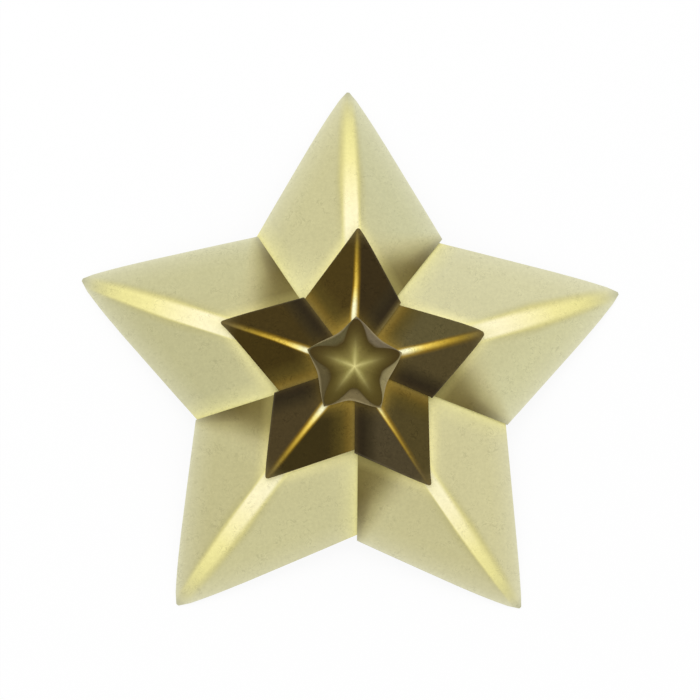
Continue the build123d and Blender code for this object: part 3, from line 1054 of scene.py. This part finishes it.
# Olive paper with painted light: lightest at the peak, darker towards the outline.
olive = crown.by("rise", [
    (0.0, (74, 61, 28)), (0.06, (80, 68, 30)), (0.20, (93, 81, 38)), (0.37, (109, 97, 49)),
    (0.53, (124, 112, 60)), (0.69, (141, 131, 71)), (0.84, (162, 152, 88)), (0.93, (186, 176, 110)),
    (1.0, (232, 222, 152)),
])
# Painted shade far out towards the tips.
shade_far_out = crown.by("radius", [(5.0, 0.0), (8.0, 0.35), (11.0, 0.62), (13.0, 0.70)])
olive = crown.over(shade_far_out, olive, (68, 54, 26))
# Painted shade, darker towards the lower side.
lower_side = crown.add("ShaderNodeSeparateXYZ")
crown.feed(lower_side.inputs[0], crown.add("ShaderNodeTexCoord").outputs["Object"])
shade_on_lower_side = crown.scale(lower_side.outputs["Y"], [(-0.007, 0.42), (-0.001, 0.12), (0.003, 0.0)])
olive = crown.over(shade_on_lower_side, olive, (92, 80, 34))
ray = crown.times(
    crown.by("ridge", [(0.0, 0.50), (0.25, 0.30), (0.6, 0.10), (1.1, 0.0)]),
    crown.by("radius", [(0.0, 1.0), (2.0, 0.75), (4.0, 0.45), (7.0, 0.10), (9.0, 0.0)]),
)
olive = crown.over(ray, olive, (222, 212, 140))
top_material = finish_paper(crown, olive, cloud=0.08, fleck=0.14, shine=0.03)
print("made", wall_material.name, "and", top_material.name)

# %% Give the sheet its finishes
for material in (outer_material, middle_material, wall_material, top_material, plain_material):
    mesh.materials.append(material)
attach(sheet, "root")
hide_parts("folded_star")
print("sheet carries", len(mesh.materials), "finishes")

# %% [markdown]
# ## Floor, light and camera
# The star lies on a plain pale floor. To the camera most of the floor's brightness is its own, so
# that the background is white as in the photograph, while the rest still takes the star's shadow.
# A plain white sky and one large soft lamp overhead light a colour about as it is written.

# %% The floor
FLOOR_SIZE = 6.0        # in metres
FLOOR_TONE = 0.94
FLOOR_GLOW = 0.90       # the share of the floor's brightness that is its own


def seen_directly(nodes, links):
    """1 for what the camera sees, also in a mirror or through glass, and 0 for light on paper."""
    path = nodes.new("ShaderNodeLightPath")
    either = path.outputs["Is Camera Ray"]
    for name in ("Is Glossy Ray", "Is Transmission Ray"):
        longer = nodes.new("ShaderNodeMath")
        longer.operation = "MAXIMUM"
        links.new(either, longer.inputs[0])
        links.new(path.outputs[name], longer.inputs[1])
        either = longer.outputs[0]
    return either


floor_mesh = bpy.data.meshes.new("floor")
half = FLOOR_SIZE / 2
floor_corners = [(-half, -half, 0), (half, -half, 0), (half, half, 0), (-half, half, 0)]
floor_mesh.from_pydata(floor_corners, [], [(0, 1, 2, 3)])
floor = bpy.data.objects.new("floor", floor_mesh)
bpy.context.collection.objects.link(floor)

pale = Recipe("pale_floor")
matt = pale.add("ShaderNodeBsdfDiffuse", Color=(FLOOR_TONE, FLOOR_TONE, FLOOR_TONE, 1))
white = pale.add("ShaderNodeEmission", Color=(1, 1, 1, 1))
share = pale.times(seen_directly(pale.nodes, pale.links), FLOOR_GLOW)
mixed = pale.add("ShaderNodeMixShader", Fac=share)
pale.feed(mixed.inputs[1], matt.outputs[0])
pale.feed(mixed.inputs[2], white.outputs[0])
pale.feed(pale.nodes["Material Output"].inputs["Surface"], mixed.outputs[0])
pale.nodes.remove(pale.paper)        # the shader that a new material starts with
floor_mesh.materials.append(pale.material)
print("floor", FLOOR_SIZE, "m across")

# %% Sky and lamp
SKY = 0.84              # strength of the sky on the paper; the camera sees it as 1
LAMP_SIZE = 0.9         # in metres
LAMP_POWER = 3.4        # in watts
LAMP_AT = (-0.25, 0.55, 1.0)

sky = bpy.data.worlds.new("plain_sky")
sky.use_nodes = True
nodes, links = sky.node_tree.nodes, sky.node_tree.links
background = nodes["Background"]
background.inputs["Color"].default_value = (1, 1, 1, 1)
strength = nodes.new("ShaderNodeMapRange")
strength.inputs["To Min"].default_value = SKY
strength.inputs["To Max"].default_value = 1.0
links.new(seen_directly(nodes, links), strength.inputs["Value"])
links.new(strength.outputs[0], background.inputs["Strength"])
bpy.context.scene.world = sky

lamp_data = bpy.data.lights.new("soft_lamp", "AREA")
lamp_data.shape = "DISK"
lamp_data.size = LAMP_SIZE
lamp_data.energy = LAMP_POWER
lamp = bpy.data.objects.new("soft_lamp", lamp_data)
lamp.location = LAMP_AT
lamp.rotation_euler = (Vector((0, 0, 0)) - lamp.location).to_track_quat("-Z", "Y").to_euler()
bpy.context.collection.objects.link(lamp)
print("lamp", lamp_data.energy, "W, sky", SKY)

# %% The camera
LENS = 127.3            # in mm
SENSOR = 36.0
STAND = (-50.66, -77.73, 693.86)         # where the camera stands, in mm before SHRINK
BACKWARDS = (-0.0723, -0.1207, 0.9901)   # the way from the star to the camera, 8 degrees off straight up
UPWARDS = (-0.0161, 0.9927, 0.1199)      # the way that is up in the picture

camera_data = bpy.data.cameras.new("camera")
camera_data.lens = LENS
camera_data.sensor_width = SENSOR
camera = bpy.data.objects.new("camera", camera_data)
bpy.context.collection.objects.link(camera)
back = Vector(BACKWARDS).normalized()
right = Vector(UPWARDS).cross(back).normalized()
up = back.cross(right)
stand = Vector(STAND) * (SHRINK * MM)
camera.matrix_world = Matrix.Translation(stand) @ Matrix((right, up, back)).transposed().to_4x4()
bpy.context.scene.camera = camera
bpy.context.scene.view_settings.view_transform = "Standard"
print("camera", tuple(round(v, 3) for v in stand), "m")

# %% Finish
bpy.context.view_layer.update()
